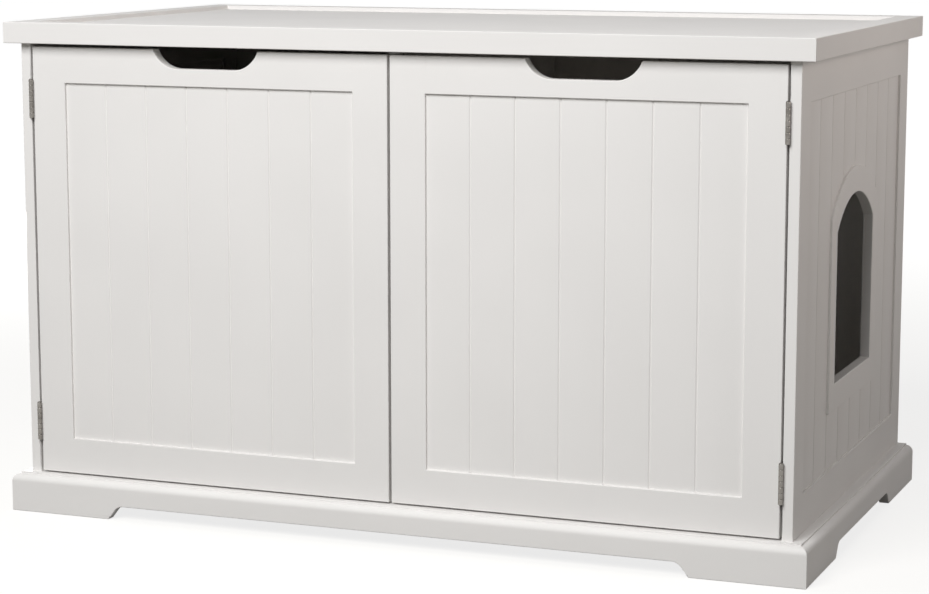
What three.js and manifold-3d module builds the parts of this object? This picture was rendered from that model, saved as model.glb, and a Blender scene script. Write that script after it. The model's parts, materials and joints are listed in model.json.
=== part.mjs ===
// A cat litter box cabinet: a painted two-door cabinet on a plinth with bracket feet, with an
// arched entry in its right side. Millimetres, +Z up. The doors face -Y, and the origin is on the
// floor under the middle of the cabinet.

import * as THREE from "three";
import { mergeVertices } from "three/addons/utils/BufferGeometryUtils.js";
import Module from "manifold-3d";

// ---- Driving dimensions ----------------------------------------------------------------------

// Whole cabinet
const HEIGHT = 571.5; // floor to the rim of the top
const DEPTH = 544; // front of the plinth to the back, where plinth, body and top are flush
const WIDTH = 953; // over the plinth, the widest part
const TOP_INSET = 2.5; // ends of the top inside the ends of the plinth
const TOP_SETBACK = 3.5; // front of the top behind the front of the plinth
const BODY_INSET = 19; // sides of the body inside the ends of the plinth
const BODY_SETBACK = 15; // faces of the doors behind the front of the plinth

// Top: a mitred rim round a sunk panel
const TOP_THICK = 24;
const RIM_WIDTH = 28;
const TRAY_DEPTH = 5; // the panel lies this far below the rim
const TOP_TONGUE = 8; // length of the tongue round the panel
const TOP_TONGUE_THICK = 7;

// Boards of the body
const SIDE_THICK = 12;
const DOOR_THICK = 15;
const PARTITION_THICK = 12;
const BOTTOM_THICK = 12;
const BACK_THICK = 5;
const BACK_RABBET = 6; // how far the back panel reaches into each side

// Frames of the sides and doors, with a beaded panel in a groove
const SIDE_STILE = 41;
const DOOR_STILE = 41.5;
const DOOR_RAIL = 41;
const PANEL_THICK = 6;
const PANEL_RECESS = 3; // face of the panel behind the face of its frame
const GROOVE_DEPTH = 8;
const BEAD_WIDTH = 3; // V-groove between two strips
const BEAD_DEPTH = 1.25;
const DOOR_STRIPS = 7;
const SIDE_STRIPS = 8;

// Gaps round the doors
const DOOR_TOP_GAP = 4;
const DOOR_BOTTOM_GAP = 2;
const DOOR_MIDDLE_GAP = 3;
const DOOR_STOP_GAP = 2; // from a closed door to the boards behind it

// Finger cut-out in the top edge of each door
const CUTOUT_WIDTH = 130;
const CUTOUT_DEPTH = 21.5;
const CUTOUT_RADIUS = 33;

// Arched entry in the right side, and the doorway in the partition
const ENTRY_WIDTH = 178;
const ENTRY_SILL = 182.5; // floor to the sill
const ENTRY_JAMB = 167.5; // height of the straight jamb
const ENTRY_RISE = 36; // rise of the arch over its springing
const ENTRY_BAND = 30; // width of the surround's face above and below the opening
const ENTRY_SIDE_BAND = 25; // and beside it
const ENTRY_LINER = 6; // wall of the surround's liner
const ENTRY_FIT = 0.3; // between the liner and the hole in the panel
const DOORWAY_STEP = 60; // bottom panel to the sill of the doorway

// Plinth: a moulded cap on skirts with bracket feet
const LEDGE_HEIGHT = 45.5; // floor to the top of the cap
const CAP_THICK = 12;
const CAP_WIDTH = 50;
const CAP_STEP = 2; // drop from the ledge to the quarter-round
const CAP_ROUND = 8; // radius of the quarter-round
const SKIRT_THICK = 12;
const FRONT_FOOT = 127.5; // length of a foot along the front
const SIDE_FOOT = 135; // and along a side
const ARCH_HEIGHT = 16; // floor to the underside of the skirt between the feet
const ARCH_FILLET = 14;
const FOOT_SLOPE = 37.5; // degrees from upright of a foot's inner edge
const BLOCK_LEG = 32; // corner blocks behind the skirts
const BLOCK_LIFT = 3.5; // floor to a corner block

// Butt hinges
const HINGE_HEIGHT = 44;
const HINGE_INSET = 37.5; // end of the door to the hinge
const HINGE_KNUCKLES = 7;
const KNUCKLE_GAP = 0.25;
const BARREL_RADIUS = 2.625;
const BARREL_CLEARANCE = 0.125; // barrel in front of the doors' faces
const PIN_RADIUS = 1.25;
const PIN_CLEARANCE = 0.25;
const PIN_HEAD_RADIUS = 2.25;
const PIN_HEAD_HEIGHT = 1;
const LEAF_THICK = 1;
const LEAF_CLEARANCE = 0.5; // between the two leaves of a closed hinge
const LEAF_WIDTH = 13;

// Magnetic catches on the partition and strike plates on the doors
const CATCH_LENGTH = 40;
const CATCH_WIDTH = 12;
const CATCH_DEPTH = 14;
const CATCH_DROP = 10; // underside of the top to the catch
const CATCH_EAR = 8; // screw ear above and below the catch
const CATCH_EAR_THICK = 2;
const POLE_THICK = 1.5; // steel pole plates, proud of the magnet between them
const POLE_PROUD = 1;
const STRIKE_THICK = 1.25;
const STRIKE_CORNER = 2;
const STRIKE_AIR = 0.25; // between the strike plate and the pole plates

const GLUE_LINE = 0.04; // in a mitre
const ARC_STEPS = 8; // curve segments, for three.js
const ROUND_SIDES = 16; // sides of a small cylinder

// ---- Places that several pieces share --------------------------------------------------------

const front = -DEPTH / 2;
const back = DEPTH / 2;
const plinthHalf = WIDTH / 2;
const topHalf = plinthHalf - TOP_INSET;
const bodyHalf = plinthHalf - BODY_INSET;
const topFront = front + TOP_SETBACK;
const topUnderside = HEIGHT - TOP_THICK;
const bodyFront = front + BODY_SETBACK;
const bodyDepth = back - bodyFront;
const bodyHeight = topUnderside - LEDGE_HEIGHT;
const sideInner = bodyHalf - SIDE_THICK;
const backInner = back - BACK_THICK;
const bottomTop = LEDGE_HEIGHT + BOTTOM_THICK;

const hingeGap = 2 * LEAF_THICK + LEAF_CLEARANCE;
const doorOuter = sideInner - hingeGap;
const doorInner = DOOR_MIDDLE_GAP / 2;
const doorWidth = doorOuter - doorInner;
const doorLow = LEDGE_HEIGHT + DOOR_BOTTOM_GAP;
const doorHigh = topUnderside - DOOR_TOP_GAP;
const doorHeight = doorHigh - doorLow;
const doorBack = bodyFront + DOOR_THICK;
const innerFront = doorBack + DOOR_STOP_GAP;
const hingeX = sideInner - hingeGap / 2;
const hingeY = bodyFront - BARREL_RADIUS - BARREL_CLEARANCE;

// ---- Materials -------------------------------------------------------------------------------

const material = (color, roughness, metalness = 0) =>
  new THREE.MeshStandardMaterial({ color, roughness, metalness });
const whitePaint = () => material(0xe8e4e2, 0.35);
const insideLaminate = () => material(0xd9d6d2, 0.6);
const rawBoard = () => material(0xb99f7c, 0.9);
const polishedNickel = () => material(0xc9c7c2, 0.15, 1);
const zincPlate = () => material(0xb4b6b8, 0.35, 1);
const whitePlastic = () => material(0xe4e2dc, 0.5);

// ---- Shapes ----------------------------------------------------------------------------------

const wasm = await Module();
wasm.setup();

function toSolid(geometry) {
  const bare = new THREE.BufferGeometry();
  bare.setAttribute("position", geometry.getAttribute("position"));
  bare.setIndex(geometry.index);
  const merged = mergeVertices(bare, 1e-4);
  return new wasm.Manifold(
    new wasm.Mesh({
      numProp: 3,
      vertProperties: merged.attributes.position.array,
      triVerts: new Uint32Array(merged.index.array),
    }),
  );
}

function toGeometry(solid) {
  const { vertProperties, triVerts } = solid.getMesh();
  const geometry = new THREE.BufferGeometry();
  geometry.setAttribute("position", new THREE.BufferAttribute(vertProperties, 3));
  geometry.setIndex(new THREE.BufferAttribute(triVerts, 1));
  return geometry;
}

const join = (...pieces) =>
  toGeometry(pieces.map((piece) => toSolid(piece)).reduce((sum, piece) => sum.add(piece)));

const cut = (piece, ...tools) =>
  toGeometry(tools.reduce((rest, tool) => rest.subtract(toSolid(tool)), toSolid(piece)));

const polygon = (points) => new THREE.Shape(points.map(([a, b]) => new THREE.Vector2(a, b)));

// Flat shapes pushed through a thickness: one is drawn across the axis that it's pushed along.
function extrude(shape, depth) {
  const flat = shape instanceof THREE.Shape ? shape : polygon(shape);
  const settings = { depth, bevelEnabled: false, steps: 1, curveSegments: ARC_STEPS };
  const geometry = new THREE.ExtrudeGeometry(flat, settings);
  geometry.deleteAttribute("normal");
  geometry.deleteAttribute("uv");
  return geometry;
}

// drawn in (x, y), from z = low to high
const upright = (shape, low, high) => extrude(shape, high - low).translate(0, 0, low);

// drawn in (x, z), from y = near to far
const through = (shape, near, far) =>
  extrude(shape, far - near).rotateX(Math.PI / 2).translate(0, far, 0);

// drawn in (y, z), from x = low to high
const across = (shape, low, high) =>
  extrude(shape, high - low).rotateX(Math.PI / 2).rotateZ(Math.PI / 2).translate(low, 0, 0);

function box([x0, x1], [y0, y1], [z0, z1]) {
  const geometry = new THREE.BoxGeometry(x1 - x0, y1 - y0, z1 - z0);
  return geometry.translate((x0 + x1) / 2, (y0 + y1) / 2, (z0 + z1) / 2);
}

// Cuts a bar's ends to a mitre: the bar lies along x, centred, and y is the depth from its face.
function mitre(geometry, half, { lowEnd, highEnd }) {
  const position = geometry.getAttribute("position");
  for (let i = 0; i < position.count; i++) {
    const x = position.getX(i);
    const inset = position.getY(i) + GLUE_LINE / 2;
    if (lowEnd && Math.abs(x + half) < GLUE_LINE) position.setX(i, inset - half);
    if (highEnd && Math.abs(x - half) < GLUE_LINE) position.setX(i, half - inset);
  }
  return geometry;
}

// ---- Assembly helpers ------------------------------------------------------------------------

function piece(name, geometry, finish) {
  const mesh = new THREE.Mesh(geometry, finish);
  mesh.name = name;
  return mesh;
}

function assembly(pieces, [x, y, z] = [0, 0, 0], turn = 0) {
  const group = new THREE.Group();
  group.add(...pieces);
  group.position.set(x, y, z);
  group.rotation.z = turn;
  return group;
}

const FACING_FRONT = 0;
const FACING_RIGHT = Math.PI / 2;
const FACING_LEFT = -Math.PI / 2;
const FACING_BACK = Math.PI;

const GRID = 256; // steps in a millimetre

// Rounds every corner to a fine grid in the cabinet's own frame. 32-bit numbers hold such corners
// exactly, so that two faces that touch lie in one plane.
function seatOnGrid(root) {
  const round = (v) => v.set(...v.toArray().map((n) => Math.round(n * GRID) / GRID));
  root.updateMatrixWorld(true);
  const meshes = [];
  root.traverse((object) => object.isMesh && meshes.push(object));
  for (const mesh of meshes) {
    mesh.geometry = mesh.geometry.clone().applyMatrix4(mesh.matrixWorld);
  }
  root.traverse((object) => round(object.position));
  root.updateMatrixWorld(true);
  const corner = new THREE.Vector3();
  for (const mesh of meshes) {
    const position = mesh.geometry.getAttribute("position");
    const home = mesh.matrixWorld.clone().invert();
    for (let i = 0; i < position.count; i++) {
      round(corner.fromBufferAttribute(position, i)).applyMatrix4(home);
      position.setXYZ(i, corner.x, corner.y, corner.z);
    }
    mesh.geometry.computeVertexNormals();
  }
  return root;
}

// ---- Panelled frames: the doors and the sides ------------------------------------------------

// Section of a stile or rail: w runs from its outer edge to its grooved edge, t from face to back.
function groovedSection(width, thick, rabbet) {
  const grooveBack = PANEL_RECESS + PANEL_THICK;
  const outerEdge = rabbet
    ? [
        [rabbet.width, thick],
        [rabbet.width, thick - rabbet.depth],
        [0, thick - rabbet.depth],
      ]
    : [[0, thick]];
  return [
    [0, 0],
    [width, 0],
    [width, PANEL_RECESS],
    [width - GROOVE_DEPTH, PANEL_RECESS],
    [width - GROOVE_DEPTH, grooveBack],
    [width, grooveBack],
    [width, thick],
    ...outerEdge,
  ];
}

// A panel of strips with V-grooves between them, its tongue-like edges hidden in the frame.
function beadPanel({ width, stile, strips, low, high }) {
  const face = PANEL_RECESS;
  const rear = PANEL_RECESS + PANEL_THICK;
  const start = stile - GROOVE_DEPTH;
  const end = width - start;
  const pitch = (width - 2 * stile) / strips;
  const outline = [
    [end, rear],
    [start, rear],
    [start, face],
  ];
  for (let strip = 1; strip < strips; strip++) {
    const x = stile + strip * pitch;
    outline.push([x - BEAD_WIDTH / 2, face], [x, face + BEAD_DEPTH], [x + BEAD_WIDTH / 2, face]);
  }
  outline.push([end, face]);
  return upright(outline, low, high);
}

// The five pieces of a panelled frame. x runs across from the first stile, y from the face into
// the board, z up. Each rail ends in stub tenons that fill the stiles' grooves beside the panel.
function panelledFrame({ names, width, height, thick, stile, strips, lowRail, highRail, ...extras }) {
  const groove = [PANEL_RECESS, PANEL_RECESS + PANEL_THICK];
  const stileSection = groovedSection(stile, thick);
  const rabbetedSection = groovedSection(stile, thick, extras.rabbet);
  const firstSection = extras.rabbetFirst ? rabbetedSection : stileSection;
  const lastSection = extras.rabbetLast ? rabbetedSection : stileSection;
  const mirrored = lastSection.map(([w, t]) => [width - w, t]);

  const tenon = (atLowEnd, z) => {
    const x = atLowEnd ? [stile - GROOVE_DEPTH, stile] : [width - stile, width - stile + GROOVE_DEPTH];
    return box(x, groove, z);
  };
  const rail = (size, toZ) => {
    const section = groovedSection(size, thick).map(([w, t]) => [t, toZ(w)]);
    const tenonZ = [toZ(0), toZ(size - GROOVE_DEPTH)].sort((a, b) => a - b);
    const bar = across(section, stile, width - stile);
    return join(bar, tenon(true, tenonZ), tenon(false, tenonZ));
  };

  const panelLow = lowRail - GROOVE_DEPTH;
  const panelHigh = height - highRail + GROOVE_DEPTH;
  const panel = beadPanel({ width, stile, strips, low: panelLow, high: panelHigh });
  const topRail = rail(highRail, (w) => height - w);
  return [
    piece(names.first, upright(firstSection, 0, height), whitePaint()),
    piece(names.last, upright(mirrored, 0, height), whitePaint()),
    piece(names.low, rail(lowRail, (w) => w), whitePaint()),
    piece(names.high, extras.railCut ? cut(topRail, extras.railCut) : topRail, whitePaint()),
    piece(names.panel, extras.panelCut ? cut(panel, extras.panelCut) : panel, whitePaint()),
  ];
}

// ---- Arched openings -------------------------------------------------------------------------

// An opening with upright jambs under a shallow arch, centred on x. grow widens it all round,
// but sideGrow, where it is given, widens it beside the jambs.
function archedOutline(x, sill, grow = 0, sideGrow = grow) {
  const halfOpening = ENTRY_WIDTH / 2;
  const openingRadius = (halfOpening ** 2 + ENTRY_RISE ** 2) / (2 * ENTRY_RISE);
  const centre = sill + ENTRY_JAMB + ENTRY_RISE - openingRadius;
  const half = halfOpening + sideGrow;
  const radius = openingRadius + grow;
  const swing = Math.asin(half / radius);
  const shape = new THREE.Shape();
  shape.moveTo(x - half, sill - grow);
  shape.lineTo(x + half, sill - grow);
  shape.absarc(x, centre, radius, Math.PI / 2 - swing, Math.PI / 2 + swing, false);
  return shape;
}

const archedRing = (x, sill, grow, sideGrow) => {
  const ring = archedOutline(x, sill, grow, sideGrow);
  ring.holes.push(archedOutline(x, sill));
  return ring;
};

// A trim ring on the face of the bead panel, with a liner through the thickness of the side.
function entrySurround(x, sill) {
  const face = through(archedRing(x, sill, ENTRY_BAND, ENTRY_SIDE_BAND), 0, PANEL_RECESS);
  const liner = through(archedRing(x, sill, ENTRY_LINER), PANEL_RECESS, SIDE_THICK);
  return piece("entry_surround", join(face, liner), whitePaint());
}

// ---- Sides, back, bottom and partition -------------------------------------------------------

function side(prefix, facing) {
  const facesRight = facing === FACING_RIGHT;
  const [first, last] = facesRight ? ["front", "rear"] : ["rear", "front"];
  const entryX = bodyDepth / 2;
  const entrySill = ENTRY_SILL - LEDGE_HEIGHT;
  const hole = archedOutline(entryX, entrySill, ENTRY_LINER + ENTRY_FIT);
  const pieces = panelledFrame({
    names: {
      first: `${prefix}_${first}_stile`,
      last: `${prefix}_${last}_stile`,
      low: `${prefix}_bottom_rail`,
      high: `${prefix}_top_rail`,
      panel: `${prefix}_bead_panel`,
    },
    width: bodyDepth,
    height: bodyHeight,
    thick: SIDE_THICK,
    stile: SIDE_STILE,
    strips: SIDE_STRIPS,
    lowRail: DOOR_BOTTOM_GAP + DOOR_RAIL, // in line with the doors' rails
    highRail: DOOR_TOP_GAP + DOOR_RAIL,
    rabbet: { width: BACK_THICK, depth: BACK_RABBET },
    rabbetFirst: !facesRight,
    rabbetLast: facesRight,
    panelCut: facesRight && through(hole, 0, SIDE_THICK),
  });
  if (facesRight) pieces.push(entrySurround(entryX, entrySill));
  const corner = facesRight ? [bodyHalf, bodyFront, LEDGE_HEIGHT] : [-bodyHalf, back, LEDGE_HEIGHT];
  return assembly(pieces, corner, facing);
}

function backPanel() {
  const half = sideInner + BACK_RABBET;
  const board = box([-half, half], [backInner, back], [LEDGE_HEIGHT, topUnderside]);
  return piece("back_panel", board, rawBoard());
}

function bottomPanel() {
  const board = box([-sideInner, sideInner], [innerFront, backInner], [LEDGE_HEIGHT, bottomTop]);
  return piece("bottom_panel", board, insideLaminate());
}

// The wall between the two compartments, with a doorway of the entry's shape.
function partition() {
  const outline = polygon([
    [innerFront, bottomTop],
    [backInner, bottomTop],
    [backInner, topUnderside],
    [innerFront, topUnderside],
  ]);
  outline.holes.push(archedOutline((bodyFront + back) / 2, bottomTop + DOORWAY_STEP));
  const wall = across(outline, -PARTITION_THICK / 2, PARTITION_THICK / 2);
  return piece("partition_wall", wall, insideLaminate());
}

// ---- Top -------------------------------------------------------------------------------------

const topPanelThick = TOP_THICK - TRAY_DEPTH;
const tongueLow = (topPanelThick - TOP_TONGUE_THICK) / 2;
const tongueHigh = tongueLow + TOP_TONGUE_THICK;

// Section of the rim: y is the depth from its outer face, z is up from its underside.
const rimSection = [
  [0, 0],
  [RIM_WIDTH, 0],
  [RIM_WIDTH, tongueLow],
  [RIM_WIDTH - TOP_TONGUE, tongueLow],
  [RIM_WIDTH - TOP_TONGUE, tongueHigh],
  [RIM_WIDTH, tongueHigh],
  [RIM_WIDTH, TOP_THICK],
  [0, TOP_THICK],
];

function rimRail(name, half, place, facing) {
  const bar = across(rimSection, -half, half);
  const rail = piece(name, mitre(bar, half, { lowEnd: true, highEnd: true }), whitePaint());
  return assembly([rail], place, facing);
}

function topCentrePanel() {
  const board = (grow, z) => {
    const half = topHalf - RIM_WIDTH + grow;
    const y = [topFront + RIM_WIDTH - grow, back - RIM_WIDTH + grow];
    return box([-half, half], y, z);
  };
  const thick = board(0, [topUnderside, topUnderside + topPanelThick]);
  const tongue = board(TOP_TONGUE, [topUnderside + tongueLow, topUnderside + tongueHigh]);
  return piece("top_centre_panel", join(thick, tongue), whitePaint());
}

function top() {
  const middle = (topFront + back) / 2;
  const halfDepth = (back - topFront) / 2;
  return assembly([
    rimRail("top_front_rail", topHalf, [0, topFront, topUnderside], FACING_FRONT),
    rimRail("top_right_rail", halfDepth, [topHalf, middle, topUnderside], FACING_RIGHT),
    rimRail("top_left_rail", halfDepth, [-topHalf, middle, topUnderside], FACING_LEFT),
    rimRail("top_back_rail", topHalf, [0, back, topUnderside], FACING_BACK),
    topCentrePanel(),
  ]);
}

// ---- Plinth ----------------------------------------------------------------------------------

const skirtHeight = LEDGE_HEIGHT - CAP_THICK;

// Section of the cap: a flat ledge, a small step and a quarter-round down to the skirt's face.
function capSection() {
  const radius = Math.min(CAP_ROUND, CAP_THICK - 2 * CAP_STEP);
  const shape = new THREE.Shape();
  shape.moveTo(0, 0);
  shape.lineTo(CAP_WIDTH, 0);
  shape.lineTo(CAP_WIDTH, CAP_THICK);
  shape.lineTo(radius, CAP_THICK);
  shape.absarc(radius, CAP_THICK - CAP_STEP - radius, radius, Math.PI / 2, Math.PI, false);
  return shape;
}

// A skirt cut to bracket feet: each foot's inner edge slopes into a fillet under a flat arch.
function skirtOutline(half, foot) {
  const slope = THREE.MathUtils.degToRad(FOOT_SLOPE);
  const centreZ = ARCH_HEIGHT - ARCH_FILLET;
  const tangentZ = centreZ + ARCH_FILLET * Math.sin(slope);
  const tangentX = half - foot - tangentZ * Math.tan(slope);
  const centreX = tangentX - ARCH_FILLET * Math.cos(slope);
  const shape = new THREE.Shape();
  shape.moveTo(half, 0);
  shape.lineTo(half, skirtHeight);
  shape.lineTo(-half, skirtHeight);
  shape.lineTo(-half, 0);
  shape.lineTo(foot - half, 0);
  shape.absarc(-centreX, centreZ, ARCH_FILLET, Math.PI - slope, Math.PI / 2, true);
  shape.absarc(centreX, centreZ, ARCH_FILLET, Math.PI / 2, slope, true);
  shape.lineTo(half - foot, 0);
  return shape;
}

function cap(name, half, ends, place, facing) {
  const bar = mitre(across(capSection(), -half, half), half, ends);
  return assembly([piece(name, bar, whitePaint())], place, facing);
}

function skirt(name, half, foot, ends, place, facing) {
  const board = mitre(through(skirtOutline(half, foot), 0, SKIRT_THICK), half, ends);
  return assembly([piece(name, board, whitePaint())], place, facing);
}

// A three-cornered block glued behind a corner of the skirts, under the caps.
function cornerBlock(name, sideways, lengthways) {
  const x = sideways * (plinthHalf - SKIRT_THICK);
  const y = lengthways * (back - SKIRT_THICK);
  const outline = [
    [x, y],
    [x - sideways * BLOCK_LEG, y],
    [x, y - lengthways * BLOCK_LEG],
  ];
  return piece(name, upright(outline, BLOCK_LIFT, skirtHeight), rawBoard());
}

function plinth() {
  const right = [plinthHalf, 0, 0];
  const left = [-plinthHalf, 0, 0];
  const raised = ([x, y]) => [x, y, skirtHeight];
  const both = { lowEnd: true, highEnd: true };
  const none = {};
  const betweenCaps = plinthHalf - CAP_WIDTH;
  const betweenSkirts = plinthHalf - SKIRT_THICK;
  const backFoot = FRONT_FOOT - SKIRT_THICK;
  const capBar = box([-betweenCaps, betweenCaps], [back - CAP_WIDTH, back], [skirtHeight, LEDGE_HEIGHT]);
  return assembly([
    cap("plinth_front_cap", plinthHalf, both, raised([0, front]), FACING_FRONT),
    cap("plinth_right_cap", back, { lowEnd: true }, raised(right), FACING_RIGHT),
    cap("plinth_left_cap", back, { highEnd: true }, raised(left), FACING_LEFT),
    piece("plinth_back_cap", capBar, whitePaint()),
    skirt("plinth_front_skirt", plinthHalf, FRONT_FOOT, both, [0, front, 0], FACING_FRONT),
    skirt("plinth_right_skirt", back, SIDE_FOOT, { lowEnd: true }, right, FACING_RIGHT),
    skirt("plinth_left_skirt", back, SIDE_FOOT, { highEnd: true }, left, FACING_LEFT),
    skirt("plinth_back_skirt", betweenSkirts, backFoot, none, [0, back, 0], FACING_BACK),
    cornerBlock("corner_block_front_left", -1, -1),
    cornerBlock("corner_block_front_right", 1, -1),
    cornerBlock("corner_block_rear_left", -1, 1),
    cornerBlock("corner_block_rear_right", 1, 1),
  ]);
}

// ---- Hinges ----------------------------------------------------------------------------------

const boreRadius = PIN_RADIUS + PIN_CLEARANCE;
const knucklePitch = HINGE_HEIGHT / HINGE_KNUCKLES;

function circle(radius, Curve = THREE.Path) {
  return new Curve().absarc(0, 0, radius, 0, 2 * Math.PI, false);
}

function knuckle(index) {
  const ring = circle(BARREL_RADIUS, THREE.Shape);
  ring.holes.push(circle(boreRadius));
  const low = index * knucklePitch + (index > 0 ? KNUCKLE_GAP / 2 : 0);
  const high = (index + 1) * knucklePitch - (index < HINGE_KNUCKLES - 1 ? KNUCKLE_GAP / 2 : 0);
  return { ring: upright(ring, low, high), z: [low, high] };
}

// One leaf of a butt hinge, with every other knuckle. The pin's axis is x = y = 0, the leaf lies
// to one side of it (toward is 1 or -1) and reaches back into the gap beside the door.
function hingeLeaf(toward, firstKnuckle) {
  const x = [toward * (LEAF_CLEARANCE / 2), toward * (LEAF_CLEARANCE / 2 + LEAF_THICK)];
  x.sort((a, b) => a - b);
  const plateStart = BARREL_RADIUS + BARREL_CLEARANCE + KNUCKLE_GAP;
  const parts = [box(x, [plateStart, plateStart + LEAF_WIDTH], [0, HINGE_HEIGHT])];
  const insideWall = (boreRadius + BARREL_RADIUS) / 2;
  for (let index = firstKnuckle; index < HINGE_KNUCKLES; index += 2) {
    const { ring, z } = knuckle(index);
    parts.push(ring, box(x, [insideWall, plateStart], z));
  }
  return join(...parts);
}

function hingePin() {
  const top = HINGE_HEIGHT + PIN_HEAD_HEIGHT;
  const profile = [
    [0, 0],
    [PIN_RADIUS, 0],
    [PIN_RADIUS, HINGE_HEIGHT],
    [PIN_HEAD_RADIUS, HINGE_HEIGHT],
    [PIN_HEAD_RADIUS, HINGE_HEIGHT + PIN_HEAD_HEIGHT / 2],
    [PIN_RADIUS, top],
    [0, top],
  ].map(([r, z]) => new THREE.Vector2(r, z));
  return new THREE.LatheGeometry(profile, ROUND_SIDES).rotateX(Math.PI / 2);
}

function hinge(prefix, sideways, low) {
  const frameLeaf = hingeLeaf(sideways, 0);
  const doorLeaf = hingeLeaf(-sideways, 1);
  const pieces = [
    piece(`${prefix}_frame_leaf`, frameLeaf, polishedNickel()),
    piece(`${prefix}_door_leaf`, doorLeaf, polishedNickel()),
    piece(`${prefix}_pin`, hingePin(), polishedNickel()),
  ];
  return assembly(pieces, [sideways * hingeX, hingeY, low]);
}

// ---- Doors and catches -----------------------------------------------------------------------

function fingerCutout() {
  const x = doorWidth / 2;
  const half = CUTOUT_WIDTH / 2;
  const centre = doorHeight - CUTOUT_DEPTH + CUTOUT_RADIUS;
  const edgeDrop = CUTOUT_RADIUS - CUTOUT_DEPTH;
  const flatHalf = half - Math.sqrt(CUTOUT_RADIUS ** 2 - edgeDrop ** 2);
  const lean = Math.asin(edgeDrop / CUTOUT_RADIUS);
  const above = doorHeight + DOOR_TOP_GAP;
  const shape = new THREE.Shape();
  shape.moveTo(x - half, above);
  shape.absarc(x - flatHalf, centre, CUTOUT_RADIUS, Math.PI + lean, 1.5 * Math.PI, false);
  shape.absarc(x + flatHalf, centre, CUTOUT_RADIUS, 1.5 * Math.PI, 2 * Math.PI - lean, false);
  shape.lineTo(x + half, above);
  return through(shape, -DOOR_THICK, 2 * DOOR_THICK);
}

function door(prefix, sideways) {
  const isRight = sideways > 0;
  const [first, last] = isRight ? ["meeting", "hinge"] : ["hinge", "meeting"];
  const pieces = panelledFrame({
    names: {
      first: `${prefix}_${first}_stile`,
      last: `${prefix}_${last}_stile`,
      low: `${prefix}_bottom_rail`,
      high: `${prefix}_top_rail`,
      panel: `${prefix}_bead_panel`,
    },
    width: doorWidth,
    height: doorHeight,
    thick: DOOR_THICK,
    stile: DOOR_STILE,
    strips: DOOR_STRIPS,
    lowRail: DOOR_RAIL,
    highRail: DOOR_RAIL,
    railCut: fingerCutout(),
  });
  const left = isRight ? doorInner : -doorOuter;
  return assembly(pieces, [left, bodyFront, doorLow]);
}

const catchHigh = topUnderside - CATCH_DROP;
const catchLow = catchHigh - CATCH_LENGTH;

// A magnet between two pole plates in a plastic case, screwed to the partition by its ears.
function magneticCatch(name, sideways) {
  const poleFace = doorBack + STRIKE_THICK + STRIKE_AIR;
  const rear = poleFace + CATCH_DEPTH;
  const near = PARTITION_THICK / 2;
  const far = near + CATCH_WIDTH;
  const outline = [
    [near, rear],
    [near, poleFace],
    [near + POLE_THICK, poleFace],
    [near + POLE_THICK, poleFace + POLE_PROUD],
    [far - POLE_THICK, poleFace + POLE_PROUD],
    [far - POLE_THICK, poleFace],
    [far, poleFace],
    [far, rear],
  ].map(([x, y]) => [sideways * x, y]);
  const earX = [sideways * near, sideways * (near + CATCH_EAR_THICK)].sort((a, b) => a - b);
  const earY = [poleFace + 2 * POLE_PROUD, rear];
  const ears = box(earX, earY, [catchLow - CATCH_EAR, catchHigh + CATCH_EAR]);
  return piece(name, join(upright(outline, catchLow, catchHigh), ears), whitePlastic());
}

function strikePlate(name, sideways) {
  const near = PARTITION_THICK / 2;
  const far = near + CATCH_WIDTH;
  const x = [sideways * near, sideways * far].sort((a, b) => a - b);
  const outline = [
    [x[0] + STRIKE_CORNER, catchLow],
    [x[1] - STRIKE_CORNER, catchLow],
    [x[1], catchLow + STRIKE_CORNER],
    [x[1], catchHigh - STRIKE_CORNER],
    [x[1] - STRIKE_CORNER, catchHigh],
    [x[0] + STRIKE_CORNER, catchHigh],
    [x[0], catchHigh - STRIKE_CORNER],
    [x[0], catchLow + STRIKE_CORNER],
  ];
  return piece(name, through(outline, doorBack, doorBack + STRIKE_THICK), zincPlate());
}

// ---- The cabinet -----------------------------------------------------------------------------

const hingeLow = doorLow + HINGE_INSET;
const hingeHigh = doorHigh - HINGE_INSET - HINGE_HEIGHT;

const cabinet = assembly([
  plinth(),
  side("left_side", FACING_LEFT),
  side("right_side", FACING_RIGHT),
  backPanel(),
  bottomPanel(),
  partition(),
  top(),
  door("left_door", -1),
  door("right_door", 1),
  hinge("left_upper_hinge", -1, hingeHigh),
  hinge("left_lower_hinge", -1, hingeLow),
  hinge("right_upper_hinge", 1, hingeHigh),
  hinge("right_lower_hinge", 1, hingeLow),
  magneticCatch("left_catch", -1),
  magneticCatch("right_catch", 1),
  strikePlate("left_strike_plate", -1),
  strikePlate("right_strike_plate", 1),
]);

export default seatOnGrid(cabinet);
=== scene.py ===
# %% [markdown]
# # A cat litter box cabinet, from plain boards to a finished piece of furniture
#
# The imported model already holds every board and fitting at its true size and place. This
# script gives them what makes them look real: softened edges under sprayed lacquer, beaded
# boards, plated hinges with screws in them, raw board where nobody looks, and light.
#
# We start by loading the model as a frame.

import json
import math

import bmesh
import bpy
from mathutils import Matrix, Vector
from mathutils.bvhtree import BVHTree

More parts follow.
